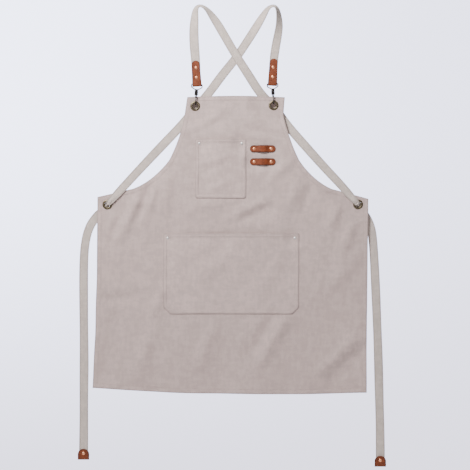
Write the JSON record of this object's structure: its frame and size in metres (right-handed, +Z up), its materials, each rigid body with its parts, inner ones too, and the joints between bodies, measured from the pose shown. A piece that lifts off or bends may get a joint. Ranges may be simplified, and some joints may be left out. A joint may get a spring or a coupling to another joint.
{
  "type": "apron on a hook",
  "caption": "Canvas cross-back apron hanging from its strap loops, with patch pockets, leather tabs, snap hooks, eyelets and long ties.",
  "frame": {"origin": "halfway between the two pegs that the strap loops go over, at the pegs' height", "axes": "+Z up, -Y out of the apron's front, +X to the right as the viewer faces it"},
  "size_m": [0.7707, 0.0244, 1.157],
  "materials": {
    "canvas": "washed cotton canvas, light greige",
    "strap_canvas": "folded and stitched canvas strap",
    "leather": "waxed tan leather with burnished edges",
    "copper_rivet": "polished copper-coloured double-cap rivet",
    "nickel_rivet": "satin nickel",
    "antique_brass": "antique bronze, worn at the rim",
    "gunmetal": "dark gunmetal plating",
    "steel": "bright steel"
  },
  "bodies": {
    "root": {"main_panel": "canvas", "chest_pocket": "canvas", "lower_pocket": "canvas", "chest_pocket_rivets": "nickel_rivet", "lower_pocket_rivets": "nickel_rivet", "strap_from_left": "strap_canvas", "strap_from_right": "strap_canvas", "eyelet_top_left": "antique_brass", "washer_top_left": "antique_brass", "eyelet_top_right": "antique_brass", "washer_top_right": "antique_brass", "eyelet_side_left": "antique_brass", "washer_side_left": "antique_brass", "eyelet_side_right": "antique_brass", "washer_side_right": "antique_brass", "pen_loop_upper": "leather", "pen_loop_rivets_upper": "copper_rivet", "pen_loop_lower": "leather", "pen_loop_rivets_lower": "copper_rivet", "leather_tab_left": "leather", "tab_rivets_left": "copper_rivet", "leather_tab_right": "leather", "tab_rivets_right": "copper_rivet"},
    "eye_left": {"snap_eye_left": "gunmetal"},
    "hook_left": {"hook_body_left": "gunmetal", "gate_pin_left": "steel", "gate_spring_left": "steel"},
    "gate_left": {"hook_gate_left": "steel"},
    "tie_end_left": {"tie_left": "strap_canvas", "tie_tip_left": "leather", "tie_tip_rivet_left": "copper_rivet"},
    "eye_right": {"snap_eye_right": "gunmetal"},
    "hook_right": {"hook_body_right": "gunmetal", "gate_pin_right": "steel", "gate_spring_right": "steel"},
    "gate_right": {"hook_gate_right": "steel"},
    "tie_end_right": {"tie_right": "strap_canvas", "tie_tip_right": "leather", "tie_tip_rivet_right": "copper_rivet"}
  },
  "joints": [
    {"name": "eye_tilt_left", "type": "hinge", "parent": "root", "child": "eye_left", "pos_m": [-0.09922, 0, -0.18597], "axis": [0.9969, 0, -0.0785], "range_deg": [-1.8, 0.7]},
    {"name": "hook_swivel_left", "type": "hinge", "parent": "eye_left", "child": "hook_left", "pos_m": [-0.10052, 0, -0.20242], "axis": [0.0785, 0, 0.9969], "range_deg": [-25, 25]},
    {"name": "gate_hinge_left", "type": "hinge", "parent": "hook_left", "child": "gate_left", "pos_m": [-0.10174, -0.006, -0.21787], "axis": [0.9969, 0, -0.0785], "range_deg": [0, 18], "stiffness_Nm_per_rad": 0.004, "springref_deg": -11.46},
    {"name": "tie_swing_left", "type": "hinge", "parent": "root", "child": "tie_end_left", "pos_m": [-0.3808, 0.003, -0.592], "axis": [0, 1, 0], "range_deg": [-12, 40]},
    {"name": "eye_tilt_right", "type": "hinge", "parent": "root", "child": "eye_right", "pos_m": [0.08965, 0, -0.18407], "axis": [0.9986, 0, 0.0523], "range_deg": [-1.8, 0.7]},
    {"name": "hook_swivel_right", "type": "hinge", "parent": "eye_right", "child": "hook_right", "pos_m": [0.09051, 0, -0.20055], "axis": [-0.0523, 0, 0.9986], "range_deg": [-25, 25]},
    {"name": "gate_hinge_right", "type": "hinge", "parent": "hook_right", "child": "gate_right", "pos_m": [0.09132, -0.006, -0.21603], "axis": [0.9986, 0, 0.0523], "range_deg": [0, 18], "stiffness_Nm_per_rad": 0.004, "springref_deg": -11.46},
    {"name": "tie_swing_right", "type": "hinge", "parent": "root", "child": "tie_end_right", "pos_m": [0.3418, 0.003, -0.5825], "axis": [0, -1, 0], "range_deg": [-12, 40]}
  ]
}
